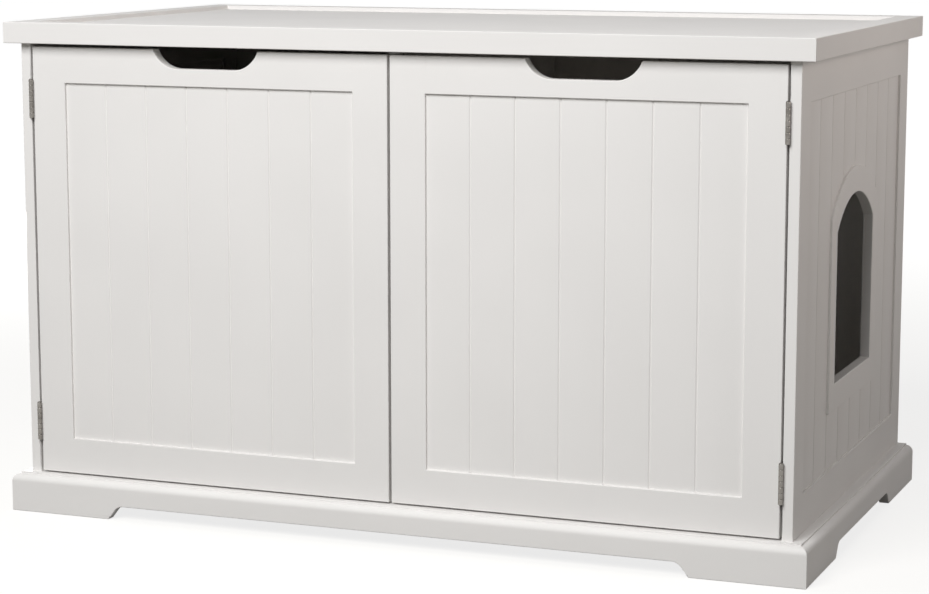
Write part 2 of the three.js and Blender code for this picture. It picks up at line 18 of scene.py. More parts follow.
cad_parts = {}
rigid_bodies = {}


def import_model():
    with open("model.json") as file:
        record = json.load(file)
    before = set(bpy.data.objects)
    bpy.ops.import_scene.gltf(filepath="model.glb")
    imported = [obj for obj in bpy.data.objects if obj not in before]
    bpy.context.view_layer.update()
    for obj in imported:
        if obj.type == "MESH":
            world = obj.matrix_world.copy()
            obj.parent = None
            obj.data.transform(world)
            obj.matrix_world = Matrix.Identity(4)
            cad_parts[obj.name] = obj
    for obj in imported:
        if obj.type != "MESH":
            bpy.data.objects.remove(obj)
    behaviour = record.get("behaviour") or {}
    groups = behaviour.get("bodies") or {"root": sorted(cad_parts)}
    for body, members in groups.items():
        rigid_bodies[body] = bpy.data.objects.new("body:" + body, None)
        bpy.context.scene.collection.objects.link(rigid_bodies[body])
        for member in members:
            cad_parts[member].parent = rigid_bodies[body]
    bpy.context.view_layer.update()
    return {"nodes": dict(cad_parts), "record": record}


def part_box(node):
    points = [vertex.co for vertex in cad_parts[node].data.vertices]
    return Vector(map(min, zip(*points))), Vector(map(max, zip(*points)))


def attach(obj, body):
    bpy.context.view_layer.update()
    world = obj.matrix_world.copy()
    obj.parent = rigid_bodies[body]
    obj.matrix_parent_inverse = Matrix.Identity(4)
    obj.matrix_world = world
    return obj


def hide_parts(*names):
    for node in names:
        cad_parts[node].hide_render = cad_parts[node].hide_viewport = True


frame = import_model()
record = frame["record"]
nodes_of = record["behaviour"]["bodies"]
body_of = {node: body for body, nodes in nodes_of.items() for node in nodes}
slot_of = {row["node"]: row["material_slot"] for row in record["subparts"]}
MM = 0.001

# %% [markdown]
# ## The camera
#
# The photograph was taken with a long lens from the front right, a little above the top. The
# angles and the place below come from matching the cabinet's corners to the picture. We make
# the camera first, because everything after it is judged through it.
#
# A camera looks along its own -Z. So we work out the direction *back* from the cabinet to the
# camera, and ask for the rotation that lays -Z along its opposite.

# %% Camera
CAMERA_AZIMUTH = 21.483
CAMERA_ELEVATION = 8.929
CAMERA_PLACE = Vector((1074.41, -2761.36, 706.76)) * MM
LENS = 97.39
SENSOR = 36.0


def direction(azimuth, elevation):
    """From the cabinet towards a camera or lamp. Azimuth 0 is in front, 90 is at its right."""
    a, e = math.radians(azimuth), math.radians(elevation)
    return Vector((math.sin(a) * math.cos(e), -math.cos(a) * math.cos(e), math.sin(e)))


camera = bpy.data.objects.new("camera", bpy.data.cameras.new("camera"))
camera.data.lens = LENS
camera.data.sensor_width = SENSOR
camera.location = CAMERA_PLACE
aim = -direction(CAMERA_AZIMUTH, CAMERA_ELEVATION)
camera.rotation_euler = aim.to_track_quat("-Z", "Y").to_euler()
bpy.context.scene.collection.objects.link(camera)
bpy.context.scene.camera = camera
bpy.context.scene.view_settings.view_transform = "Standard"
print("camera at", [round(v, 3) for v in camera.location])

# %% [markdown]
# ## Two small helpers for node trees
#
# Colours are picked on a screen as sRGB hex values, but the renderer works in linear light, so
# one function turns the first into the second. A second function adds a node, sets it up and
# links it, for materials, the world and Geometry Nodes alike. An input that is given a socket
# is linked, and one that is given a number or colour is set.


# %% Colours and nodes
MATH = "ShaderNodeMath"  # adds, multiplies and compares


def srgb(hex_colour):
    """A hex colour such as "E8E4E2" as linear red, green, blue and alpha."""
    values = [int(hex_colour[i : i + 2], 16) / 255 for i in (0, 2, 4)]
    return (*[v / 12.92 if v <= 0.04045 else ((v + 0.055) / 1.055) ** 2.4 for v in values], 1.0)


def add(tree, kind, inputs=None, **settings):
    """Adds one node to a tree."""
    node = tree.nodes.new(kind)
    for name, value in settings.items():
        setattr(node, name, value)
    for socket, value in (inputs or {}).items():
        if isinstance(value, bpy.types.NodeSocket):
            tree.links.new(value, node.inputs[socket])
        else:
            node.inputs[socket].default_value = value
    return node


def per_metre(size_mm):
    """The scale of a noise whose blobs are about so many millimetres wide."""
    return 1 / (size_mm * MM)


print("white lacquer in linear light:", [round(v, 3) for v in srgb("ECEAE8")])

# %% [markdown]
# ## Finishes
#
# Real surfaces are never one flat colour. Sprayed lacquer has a slight *orange peel*: soft
# dimples a millimetre or two wide and a few thousandths deep. Its gloss drifts a little from
# place to place, and so does its colour. Melamine board has a finer, pressed texture, plastic
# has the spark-eroded grain of its mould, and plated steel has smudges and polishing haze.
#
# All of these are the same recipe with other numbers: one broad noise for the colour, one for
# the gloss, and one fine noise for the relief. The relief is given as a real height, so that it
# stays right at any distance. The patterns read Object coordinates. Every piece's object sits at
# the origin, so the pattern runs on from board to board as a spray coat does.


# %% One recipe for coated surfaces
NOISE_LOW, NOISE_HIGH = 0.25, 0.75  # a noise seldom leaves this range


def finish(name, light, dark, roughness, spread, mottle_mm, grain_mm, relief_mm, **settings):
    """A material with drifting colour and gloss and a fine relief."""
    material = bpy.data.materials.new(name)
    material.use_nodes = True
    tree = material.node_tree
    tree.nodes.clear()
    place = add(tree, "ShaderNodeTexCoord").outputs["Object"]
    mottle = add(
        tree,
        "ShaderNodeTexNoise",
        {"Vector": place, "Scale": per_metre(mottle_mm), "Detail": 1.0},
    )
    ramp = add(tree, "ShaderNodeValToRGB", {"Fac": mottle.outputs["Fac"]})
    ramp.color_ramp.elements[0].position = NOISE_LOW
    ramp.color_ramp.elements[0].color = srgb(dark)
    ramp.color_ramp.elements[1].position = NOISE_HIGH
    ramp.color_ramp.elements[1].color = srgb(light)
    haze = add(
        tree,
        "ShaderNodeTexNoise",
        {"Vector": place, "Scale": per_metre(mottle_mm / 3), "Detail": 1.0},
    )
    gloss = add(
        tree,
        "ShaderNodeMapRange",
        {
            "Value": haze.outputs["Fac"],
            "From Min": NOISE_LOW,
            "From Max": NOISE_HIGH,
            "To Min": roughness - spread,
            "To Max": roughness + spread,
        },
    )
    grain = add(
        tree,
        "ShaderNodeTexNoise",
        {"Vector": place, "Scale": per_metre(grain_mm), "Detail": 2.0},
    )
    relief = add(
        tree,
        "ShaderNodeBump",
        {"Height": grain.outputs["Fac"], "Strength": 1.0, "Distance": relief_mm * MM},
    )
    shader = add(
        tree,
        "ShaderNodeBsdfPrincipled",
        {
            "Base Color": ramp.outputs["Color"],
            "Roughness": gloss.outputs["Result"],
            "Normal": relief.outputs["Normal"],
        },
    )
    for socket, value in settings.items():
        shader.inputs[socket.replace("_", " ")].default_value = value
    add(tree, "ShaderNodeOutputMaterial", {"Surface": shader.outputs["BSDF"]})
    return material


# Polyurethane lacquer sprayed on MDF: satin white with a broad, soft highlight.
satin_lacquer = finish(
    "satin lacquer on MDF", "ECEAE8", "E9E7E5", 0.55, 0.02, 120, 1.8, 0.008, Specular_IOR_Level=0.2
)
# Melamine paper on the inner faces: duller, with a fine pressed pearl.
melamine = finish("white melamine on MDF", "F4F2EE", "F1EEEA", 0.50, 0.06, 60, 0.9, 0.020)
# Bright nickel over steel: a mirror with polishing haze. Set darker than nickel is, to come near
# the hinges of the photograph, because ours stand among white paper and mirror it.
# Its darkened colour is a painted dark reflection, standing in for dark surroundings mirrored in
# the plate.
polished_nickel = finish(
    "bright nickel plate", "938F8A", "7B7772", 0.18, 0.05, 12, 2.5, 0.002, Metallic=1.0
)
# Zinc over steel: bluish grey, with a soft sheen.
zinc_plate = finish(
    "zinc-plated steel", "BFC2C6", "A9ADB2", 0.36, 0.08, 6, 0.8, 0.006, Metallic=1.0
)
# Sintered ferrite between the pole plates of a catch: almost black, slightly sandy.
ferrite = finish("ferrite magnet", "3A383A", "2C2A2C", 0.62, 0.08, 5, 0.5, 0.030)
# Moulded ABS with a fine spark-eroded grain.
moulded_abs = finish("white moulded ABS", "E9E7E1", "E2E0D9", 0.42, 0.05, 20, 0.45, 0.010)
print("finishes so far:", [material.name for material in bpy.data.materials])

# %% [markdown]
# Two boards are left raw, because they face the wall and the floor. *Hardboard* is pressed from
# cooked wood fibres: brown, mottled at the size of the fibre clumps, with darker flecks. *MDF*
# is paler and finer, and its sawn faces look like felt. Here the colour itself carries the
# pattern, so these two get stretched noise for the fibres and a cell texture for the flecks.


# %% Raw boards
FLECK_CORE, FLECK_EDGE = 0.06, 0.2  # of a cell's width, where a fleck is full and where it ends
FLECK_STRENGTH = 0.75
CLUMP_LOW, CLUMP_HIGH = 0.3, 0.7


def raw_board(name, light, dark, fleck, clump_mm, fleck_mm, relief_mm):
    """Pressed wood fibre with no coat on it."""
    material = bpy.data.materials.new(name)
    material.use_nodes = True
    tree = material.node_tree
    tree.nodes.clear()
    place = add(tree, "ShaderNodeTexCoord").outputs["Object"]
    clumps = add(
        tree,
        "ShaderNodeTexNoise",
        {"Vector": place, "Scale": per_metre(clump_mm), "Detail": 7.0, "Roughness": 0.7},
    )
    ramp = add(tree, "ShaderNodeValToRGB", {"Fac": clumps.outputs["Fac"]})
    ramp.color_ramp.elements[0].position = CLUMP_LOW
    ramp.color_ramp.elements[0].color = srgb(dark)
    ramp.color_ramp.elements[1].position = CLUMP_HIGH
    ramp.color_ramp.elements[1].color = srgb(light)
    cells = add(tree, "ShaderNodeTexVoronoi", {"Vector": place, "Scale": per_metre(fleck_mm)})
    flecks = add(
        tree,
        "ShaderNodeMapRange",
        {
            "Value": cells.outputs["Distance"],
            "From Min": FLECK_CORE,
            "From Max": FLECK_EDGE,
            "To Min": FLECK_STRENGTH,
            "To Max": 0.0,
        },
    )
    mix = add(tree, "ShaderNodeMix", data_type="RGBA")
    tree.links.new(flecks.outputs["Result"], mix.inputs[0])
    tree.links.new(ramp.outputs["Color"], mix.inputs[6])
    mix.inputs[7].default_value = srgb(fleck)
    relief = add(
        tree,
        "ShaderNodeBump",
        {"Height": clumps.outputs["Fac"], "Strength": 1.0, "Distance": relief_mm * MM},
    )
    shader = add(
        tree,
        "ShaderNodeBsdfPrincipled",
        {"Base Color": mix.outputs[2], "Roughness": 0.85, "Normal": relief.outputs["Normal"]},
    )
    add(tree, "ShaderNodeOutputMaterial", {"Surface": shader.outputs["BSDF"]})
    return material


hardboard = raw_board("brown hardboard", "9C7A55", "7F6040", "5E452D", 14, 5, 0.10)
sawn_mdf = raw_board("sawn MDF", "C0A47E", "A98C66", "8C7150", 6, 3, 0.12)
print("raw boards:", hardboard.name, "and", sawn_mdf.name)

# %% [markdown]
# ## Putting a piece into the scene
#
# Every finished piece is a plain mesh whose object sits at the origin. It rides on one of the
# cabinet's bodies, so that a door's pieces swing with the door, and the node of the model that
# it stands for is hidden.


# %% A helper that shows a piece
def show(name, mesh, body, material=None, stands_for=()):
    """Makes an object of a mesh with its material, ties it to a body, and hides the nodes it
    stands for.
    """
    if material is not None:
        mesh.materials.clear()
        mesh.materials.append(material)
    piece = bpy.data.objects.new(name, mesh)
    bpy.context.scene.collection.objects.link(piece)
    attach(piece, body)
    if stands_for:
        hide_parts(*stands_for)
    return piece


# %% [markdown]
# ## Softened edges
#
# A real board never ends in a knife edge. It is sanded before it is sprayed, and the lacquer
# rounds it further, so every open edge catches a thin line of light. But where two boards are
# glued flush, the coat runs over the joint and nothing shows. So an edge is rounded only where
# both of its faces are open to the air.
#
# To find those edges we take a merged copy of a board and cut its faces where a neighbour
# begins or ends. Then we look just outside each of the edge's two faces: if another board fills
# that place, the edge is left sharp.

# %% Which parts of a board are open to the air
LOOK_OUT = 0.1 * MM  # how far in front of a face we look
LOOK_IN = 0.4 * MM  # and how far from the edge
SAME_PLACE = 0.001 * MM  # corners closer than this are one
FLAT = math.radians(1)
CURVE = math.radians(30)  # flatter than this between two faces is part of a curve


def merged(node):
    """A copy of a node's mesh, with its loose triangles joined into whole faces."""
    bm = bmesh.new()
    bm.from_mesh(frame["nodes"][node].data)
    bmesh.ops.remove_doubles(bm, verts=bm.verts, dist=SAME_PLACE)
    bmesh.ops.dissolve_limit(bm, angle_limit=FLAT, verts=bm.verts, edges=bm.edges)
    return bm


boxes = {node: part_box(node) for node in body_of}
shells = {}
for node in body_of:
    bm = merged(node)
    shells[node] = BVHTree.FromBMesh(bm)
    bm.free()


def meets(low, high, other):
    """Whether a box touches or holds part of a node's box."""
    a, b = boxes[other]
    return all(low[i] <= b[i] + LOOK_OUT and a[i] <= high[i] + LOOK_OUT for i in range(3))


def neighbours(node):
    """The other boards of its body that a board meets."""
    same_body = [other for other in nodes_of[body_of[node]] if other != node]
    return [other for other in same_body if meets(*boxes[node], other)]


def filled(point, others):
    """Whether a point lies inside one of the other boards."""
    for other in others:
        if meets(point, point, other):
            nearest, normal, _, _ = shells[other].find_nearest(point)
            if (point - nearest).dot(normal) < 0:
                return True
    return False


print("boards round the left door's upper rail:", neighbours("left_door_top_rail"))


# %% Rounding the open edges
def is_open(edge, others):
    """Whether both faces of an edge are in the open."""
    middle = (edge.verts[0].co + edge.verts[1].co) / 2
    for loop in edge.link_loops:
        along = loop.link_loop_next.vert.co - loop.vert.co
        inward = loop.face.normal.cross(along).normalized()
        if filled(middle + inward * LOOK_IN + loop.face.normal * LOOK_OUT, others):
            return False
    return True


def mark_curves(bm):
    """Smooth shading on the curved faces, flat shading on the rest."""
    bm.normal_update()
    for edge in bm.edges:
        if len(edge.link_faces) == 2 and FLAT < edge.calc_face_angle(0) < CURVE:
            for face in edge.link_faces:
                face.smooth = True
    for edge in bm.edges:
        edge.smooth = len(edge.link_faces) == 2 and edge.calc_face_angle(0) < CURVE


def soften(bm, edges, radius, segments=3):
    """Rounds edges, and shades the new strips smoothly."""
    rounded = bmesh.ops.bevel(
        bm,
        geom=edges,
        offset=radius,
        offset_type="OFFSET",
        segments=segments,
        profile=0.5,
        affect="EDGES",
        clamp_overlap=False,
    )
    for face in rounded["faces"]:
        face.smooth = True


def cut_at(bm, others, low, high):
    """Cuts a board's faces where its neighbours' boxes begin and end."""
    for other in others:
        for corner in boxes[other]:
            for axis in range(3):
                if low[axis] + LOOK_IN < corner[axis] < high[axis] - LOOK_IN:
                    normal = Vector([float(i == axis) for i in range(3)])
                    geometry = bm.verts[:] + bm.edges[:] + bm.faces[:]
                    bmesh.ops.bisect_plane(bm, geom=geometry, plane_co=corner, plane_no=normal)


def eased(node, radius, segments=3):
    """A node's mesh with its open edges rounded."""
    others = neighbours(node)
    bm = merged(node)
    cut_at(bm, others, *boxes[node])
    mark_curves(bm)
    edges = [
        edge
        for edge in bm.edges
        if len(edge.link_faces) == 2
        and edge.calc_face_angle_signed(0) > CURVE
        and is_open(edge, others)
    ]
    soften(bm, edges, radius, segments)
    mesh = bpy.data.meshes.new(node)
    bm.to_mesh(mesh)
    bm.free()
    return mesh


# %% [markdown]
# ## The lacquered boards
#
# With that helper, the stiles and rails, the rim of the top, the moulded plinth and the raised
# surround of the entry need one loop. The radius is 0.8 mm, what sandpaper and a coat of
# lacquer leave on MDF.

# %% Stiles, rails, top, plinth and surround
PAINTED_EASE = 0.8 * MM
painted = [node for node in body_of if slot_of[node] == "white_paint"]
beaded = [node for node in painted if node.endswith("bead_panel")]
for node in painted:
    if node not in beaded:
        mesh = eased(node, PAINTED_EASE)
        show(f"lacquered_{node}", mesh, body_of[node], satin_lacquer, [node])
print("lacquered boards:", len(painted) - len(beaded))

# %% [markdown]
# ## The beaded panels
#
# A beaded panel is one board with V-grooves routed down it, so that it looks like a row of
# narrow strips. It follows a rule, which makes it a good job for Geometry Nodes: set out the
# grooves at an even pitch, join them into one outline, round its corners, fill it, and push it
# up to the board's length.
#
# The tree below does that with named inputs. The grooves are three points each, instanced
# along a line. Two corners at each end close the outline, and *Points to Curves* strings them
# all together in the order of their place along the board.


# %% A geometry tree and its inputs
def new_tree(name, **inputs):
    """An empty Geometry Nodes tree with named inputs, and its input and output nodes."""
    tree = bpy.data.node_groups.new(name, "GeometryNodeTree")
    for label, (kind, value) in inputs.items():
        label = label.replace("_", " ")
        socket = tree.interface.new_socket(label, in_out="INPUT", socket_type="NodeSocket" + kind)
        if value is not None:
            socket.default_value = value
    tree.interface.new_socket("Geometry", in_out="OUTPUT", socket_type="NodeSocketGeometry")
    return tree, add(tree, "NodeGroupInput").outputs


def grown(name, tree, **inputs):
    """The plain mesh that a tree makes with these inputs."""
    maker = bpy.data.objects.new(name, bpy.data.meshes.new(name))
    bpy.context.scene.collection.objects.link(maker)
    modifier = maker.modifiers.new("maker", "NODES")
    modifier.node_group = tree
    for item in tree.interface.items_tree:
        label = item.name.replace(" ", "_")
        if item.in_out == "INPUT" and label in inputs:
            modifier[item.identifier] = inputs[label]
    bpy.context.view_layer.update()
    graph = bpy.context.evaluated_depsgraph_get()
    mesh = bpy.data.meshes.new_from_object(maker.evaluated_get(graph))
    bpy.data.objects.remove(maker)
    mesh.name = name
    return mesh


def end_tree(tree, geometry, material):
    """Ends a tree: instances made real, the material put on, and out."""
    real = add(tree, "GeometryNodeRealizeInstances", {0: geometry}).outputs[0]
    coated = add(tree, "GeometryNodeSetMaterial", {"Geometry": real, "Material": material})
    add(tree, "NodeGroupOutput", {0: coated.outputs[0]})
    print(tree.name, "tree:", len(tree.nodes), "nodes")


# %% The beaded board's tree
beads, given = new_tree(
    "Beaded board",
    Length=("Float", 0.4),
    Strips=("Int", 7),
    Pitch=("Float", 0.05),
    Tongue=("Float", 0.008),
    Thickness=("Float", 0.006),
    Groove_Width=("Float", 0.003),
    Groove_Depth=("Float", 0.00125),
    Easing=("Float", 0.0005),
    Material=("Material", None),
)
index = add(beads, "GeometryNodeInputIndex").outputs[0]

# three points in a V: their steps from its middle are -1, 0 and 1
step = add(beads, MATH, {0: index, 1: 1.0}, operation="SUBTRACT").outputs[0]
half_groove = add(beads, MATH, {0: given["Groove Width"], 1: 0.5}, operation="MULTIPLY").outputs[0]
v_x = add(beads, MATH, {0: step, 1: half_groove}, operation="MULTIPLY").outputs[0]
aside = add(beads, MATH, {0: step}, operation="ABSOLUTE").outputs[0]
rise = add(beads, MATH, {0: 1.0, 1: aside}, operation="SUBTRACT").outputs[0]
v_y = add(beads, MATH, {0: rise, 1: given["Groove Depth"]}, operation="MULTIPLY").outputs[0]
v_place = add(beads, "ShaderNodeCombineXYZ", {"X": v_x, "Y": v_y}).outputs[0]
v_points = add(beads, "GeometryNodePoints", {"Count": 3, "Position": v_place}).outputs[0]

# one V between each two strips
first_groove = add(
    beads, MATH, {0: given["Tongue"], 1: given["Pitch"]}, operation="ADD"
).outputs[0]
groove_count = add(beads, MATH, {0: given["Strips"], 1: 1.0}, operation="SUBTRACT").outputs[0]
row = add(
    beads,
    "GeometryNodeMeshLine",
    {
        "Count": groove_count,
        "Start Location": add(beads, "ShaderNodeCombineXYZ", {"X": first_groove}).outputs[0],
        "Offset": add(beads, "ShaderNodeCombineXYZ", {"X": given["Pitch"]}).outputs[0],
    },
)
grooves = add(
    beads, "GeometryNodeInstanceOnPoints", {"Points": row.outputs[0], "Instance": v_points}
)
loose_grooves = add(beads, "GeometryNodeRealizeInstances", {0: grooves.outputs[0]}).outputs[0]

# the board's four corners
panel_width = add(
    beads, MATH, {0: given["Strips"], 1: given["Pitch"]}, operation="MULTIPLY"
).outputs[0]
tongues = add(beads, MATH, {0: given["Tongue"], 1: 2.0}, operation="MULTIPLY").outputs[0]
board_width = add(beads, MATH, {0: panel_width, 1: tongues}, operation="ADD").outputs[0]
from_middle = add(beads, MATH, {0: index, 1: 1.5}, operation="SUBTRACT").outputs[0]
aside = add(beads, MATH, {0: from_middle}, operation="ABSOLUTE").outputs[0]
right = add(beads, MATH, {0: aside, 1: 1.0}, operation="LESS_THAN").outputs[0]
corner_x = add(beads, MATH, {0: right, 1: board_width}, operation="MULTIPLY").outputs[0]
rear = add(beads, MATH, {0: index, 1: 1.5}, operation="GREATER_THAN").outputs[0]
corner_y = add(beads, MATH, {0: rear, 1: given["Thickness"]}, operation="MULTIPLY").outputs[0]
corner_place = add(beads, "ShaderNodeCombineXYZ", {"X": corner_x, "Y": corner_y}).outputs[0]
corners = add(beads, "GeometryNodePoints", {"Count": 4, "Position": corner_place}).outputs[0]

# strung together: along the face first, then back along the rear
points = add(beads, "GeometryNodeJoinGeometry")
beads.links.new(loose_grooves, points.inputs[0])
beads.links.new(corners, points.inputs[0])
place = add(beads, "GeometryNodeInputPosition").outputs[0]
x, y, _ = add(beads, "ShaderNodeSeparateXYZ", {0: place}).outputs
deep = add(beads, MATH, {0: given["Thickness"], 1: 0.75}, operation="MULTIPLY").outputs[0]
behind = add(beads, MATH, {0: y, 1: deep}, operation="GREATER_THAN").outputs[0]
round_trip = add(beads, MATH, {0: board_width, 1: 3.0}, operation="MULTIPLY").outputs[0]
there = add(beads, MATH, {0: x, 1: 2.0}, operation="MULTIPLY").outputs[0]
way_back = add(beads, MATH, {0: round_trip, 1: there}, operation="SUBTRACT").outputs[0]
extra = add(beads, MATH, {0: behind, 1: way_back}, operation="MULTIPLY").outputs[0]
order = add(beads, MATH, {0: x, 1: extra}, operation="ADD").outputs[0]
outline = add(
    beads, "GeometryNodePointsToCurves", {"Points": points.outputs[0], "Weight": order}
).outputs[0]
closed = add(beads, "GeometryNodeSetSplineCyclic", {0: outline, "Cyclic": True}).outputs[0]
rounded = add(
    beads,
    "GeometryNodeFilletCurve",
    {"Curve": closed, "Count": 3, "Radius": given["Easing"], "Limit Radius": True},
    mode="POLY",
).outputs[0]

# filled and pushed up
section = add(beads, "GeometryNodeFillCurve", {0: rounded}, mode="NGONS").outputs[0]
up = add(beads, "ShaderNodeCombineXYZ", {"Z": given["Length"]}).outputs[0]
tall = add(
    beads,
    "GeometryNodeExtrudeMesh",
    {"Mesh": section, "Offset": up, "Offset Scale": 1.0, "Individual": False},
).outputs[0]
foot = add(beads, "GeometryNodeFlipFaces", {0: section}).outputs[0]
whole = add(beads, "GeometryNodeJoinGeometry")
beads.links.new(tall, whole.inputs[0])
beads.links.new(foot, whole.inputs[0])
welded = add(
    beads, "GeometryNodeMergeByDistance", {0: whole.outputs[0], "Distance": SAME_PLACE}
).outputs[0]
end_tree(beads, welded, given["Material"])

# %% [markdown]
# Each panel takes its size from the node it stands for. The two sides' panels are turned a
# quarter, so their grooves face out. The right one has a hole for the entry, a little larger
# than the surround's liner. We cut it with a Boolean modifier and keep only the result.

# %% Panels
TONGUE = 8 * MM
STRIPS = {"left_door": 7, "right_door": 7, "left_side": 8, "right_side": 8}


def reshade(mesh):
    """Flat boards and smooth curves on a mesh that a tree or a cut has made."""
    bm = bmesh.new()
    bm.from_mesh(mesh)
    for face in bm.faces:
        face.smooth = False
    mark_curves(bm)
    bm.to_mesh(mesh)
    bm.free()
    return mesh


def carved(mesh, *cutters):
    """A mesh with the shapes of others cut out of it."""
    work = bpy.data.objects.new("work", mesh)
    bpy.context.scene.collection.objects.link(work)
    tools = []
    for cutter in cutters:
        tool = bpy.data.objects.new("cutter", cutter)
        bpy.context.scene.collection.objects.link(tool)
        tools.append(tool)
        modifier = work.modifiers.new("cut", "BOOLEAN")
        modifier.operation = "DIFFERENCE"
        modifier.solver = "EXACT"
        modifier.object = tool
    bpy.context.view_layer.update()
    graph = bpy.context.evaluated_depsgraph_get()
    result = bpy.data.meshes.new_from_object(work.evaluated_get(graph))
    for made in [work, *tools]:
        bpy.data.objects.remove(made)
    return result


def prism(outline, low, high, axis):
    """A flat outline pushed along an axis: 0 for X, drawn in (y, z), 1 for Y, drawn in (x, z),
    or 2 for Z, drawn in (x, y)."""
    bm = bmesh.new()
    rows = []
    for depth in (low, high):
        places = [list(point) for point in outline]
        for point in places:
            point.insert(axis, depth)
        rows.append([bm.verts.new(point) for point in places])
    count = len(outline)
    for i in range(count):
        j = (i + 1) % count
        bm.faces.new((rows[0][i], rows[0][j], rows[1][j], rows[1][i]))
    for ring in rows:
        bm.faces.new(ring)
    bmesh.ops.recalc_face_normals(bm, faces=bm.faces)
    return bm


def to_mesh(bm, name):
    """A bmesh as a mesh. The bmesh is freed."""
    mesh = bpy.data.meshes.new(name)
    bm.to_mesh(mesh)
    bm.free()
    return mesh


ENTRY_WIDTH = 178 * MM
ENTRY_SILL = 182.5 * MM
ENTRY_JAMB = 167.5 * MM
ENTRY_RISE = 36 * MM
LINER = 6.3 * MM  # the surround's liner and its clearance


def arch(middle, sill, grow=0.0, steps=24):
    """The outline of the entry: upright jambs under a shallow arch."""
    half = ENTRY_WIDTH / 2
    radius = (half**2 + ENTRY_RISE**2) / (2 * ENTRY_RISE)
    centre = sill + ENTRY_JAMB + ENTRY_RISE - radius
    half, radius = half + grow, radius + grow
    swing = math.asin(half / radius)
    points = [(middle - half, sill - grow), (middle + half, sill - grow)]
    for i in range(steps + 1):
        angle = swing * (1 - 2 * i / steps)
        points.append((middle + radius * math.sin(angle), centre + radius * math.cos(angle)))
    return points


entry_low, entry_high = boxes["entry_surround"]
entry_middle = (entry_low.y + entry_high.y) / 2
for node in beaded:
    low, high = boxes[node]
    unit = node.removesuffix("_bead_panel")
    if "door" in unit:
        width, thickness = high.x - low.x, high.y - low.y
        stand = Matrix.Translation(low)
    elif "right" in unit:
        width, thickness = high.y - low.y, high.x - low.x
        stand = Matrix.Translation((high.x, low.y, low.z)) @ Matrix.Rotation(math.pi / 2, 4, "Z")
    else:
        width, thickness = high.y - low.y, high.x - low.x
        stand = Matrix.Translation((low.x, high.y, low.z)) @ Matrix.Rotation(-math.pi / 2, 4, "Z")
    mesh = grown(
        node,
        beads,
        Length=high.z - low.z,
        Strips=STRIPS[unit],
        Pitch=(width - 2 * TONGUE) / STRIPS[unit],
        Tongue=TONGUE,
        Thickness=thickness,
        Material=satin_lacquer,
    )
    mesh.transform(stand)
    if unit == "right_side":
        hole = prism(arch(entry_middle, ENTRY_SILL, LINER), low.x - TONGUE, high.x + TONGUE, 0)
        mesh = carved(mesh, to_mesh(hole, "hole"))
    reshade(mesh)
    show(f"beaded_{unit}_panel", mesh, body_of[node], satin_lacquer, [node])
    print(unit, "panel:", len(mesh.polygons), "faces")

# %% [markdown]
# ## The boards inside
#
# The bottom and the partition are faced with melamine. Its edges are sharper than painted
# ones, because the facing is thin and is trimmed with a knife. The corner blocks are sawn MDF.

# %% Bottom, partition and blocks
MELAMINE_EASE = 0.4 * MM
for node in body_of:
    if slot_of[node] == "inside_laminate":
        mesh = eased(node, MELAMINE_EASE, 2)
        show(f"laminated_{node}", mesh, body_of[node], melamine, [node])
    elif slot_of[node] == "raw_board" and node != "back_panel":
        mesh = eased(node, MELAMINE_EASE, 2)
        show(f"sawn_{node}", mesh, body_of[node], sawn_mdf, [node])

# %% [markdown]
# ## Turned parts
#
# Hinge pins, screw heads and nails are round, so they come off a lathe. We do the same: draw
# half of the outline as pairs of radius and height, and carry it round the axis. Two more
# helpers join small meshes into one piece and make the mirrored twin of a fitting. A mirror
# turns a mesh inside out, so the twin's faces are flipped back.


# %% A lathe, a joiner and a mirror
def turned(outline, steps=24):
    """A turned solid about Z. The first and last (radius, height) pairs are on the axis."""
    bm = bmesh.new()
    rings = []
    for radius, height in outline:
        count = steps if radius else 1
        angles = [2 * math.pi * i / steps for i in range(count)]
        places = [(radius * math.cos(a), radius * math.sin(a), height) for a in angles]
        rings.append([bm.verts.new(place) for place in places])
    for lower, upper in zip(rings, rings[1:]):
        for i in range(steps):
            j = i + 1
            corners = [
                lower[i % len(lower)],
                lower[j % len(lower)],
                upper[j % len(upper)],
                upper[i % len(upper)],
            ]
            bm.faces.new(list(dict.fromkeys(corners)))  # at a pole two corners are the same
    bmesh.ops.recalc_face_normals(bm, faces=bm.faces)
    return bm


def millimetres(pairs):
    """Pairs given in millimetres, in metres."""
    return [(a * MM, b * MM) for a, b in pairs]


def joined(name, *meshes):
    """Several meshes as one."""
    bm = bmesh.new()
    for mesh in meshes:
        bm.from_mesh(mesh)
    return to_mesh(bm, name)


def mirrored(mesh, side):
    """A fitting made for the right (side 1), or its twin for the left (side -1)."""
    twin = mesh.copy()
    if side < 0:
        twin.transform(Matrix.Scale(-1, 4, (1, 0, 0)))
        twin.flip_normals()
    return twin


def plate(outline, low, high, axis, ease):
    """A flat metal or plastic part with all its outer edges eased."""
    bm = prism(outline, low, high, axis)
    mark_curves(bm)
    edges = [edge for edge in bm.edges if edge.calc_face_angle_signed(0) > CURVE]
    soften(bm, edges, ease, 2)
    return bm


# %% [markdown]
# ## Screws
#
# All the screws here are small countersunk ones with a cross recess. One head is turned and
# its cross is cut with a Boolean. Then a tree repeats it along a row: *Align Rotation to
# Vector* makes it face out of the plate, and a random turn with a fixed seed keeps the crosses
# from lining up, because nobody stops a screw at the same angle twice.

# %% One screw head and its countersink
HEAD_RADIUS = 2.45
CROSS_ARM = 1.4
CROSS_HALF = 0.27
CROSS_DEEP = 0.75
SINK_GAP = 0.12  # between a head and its countersink
SINK_DEEP = 1.0
SHANK_RADIUS = 1.45
SHANK_DEEP = 4.0

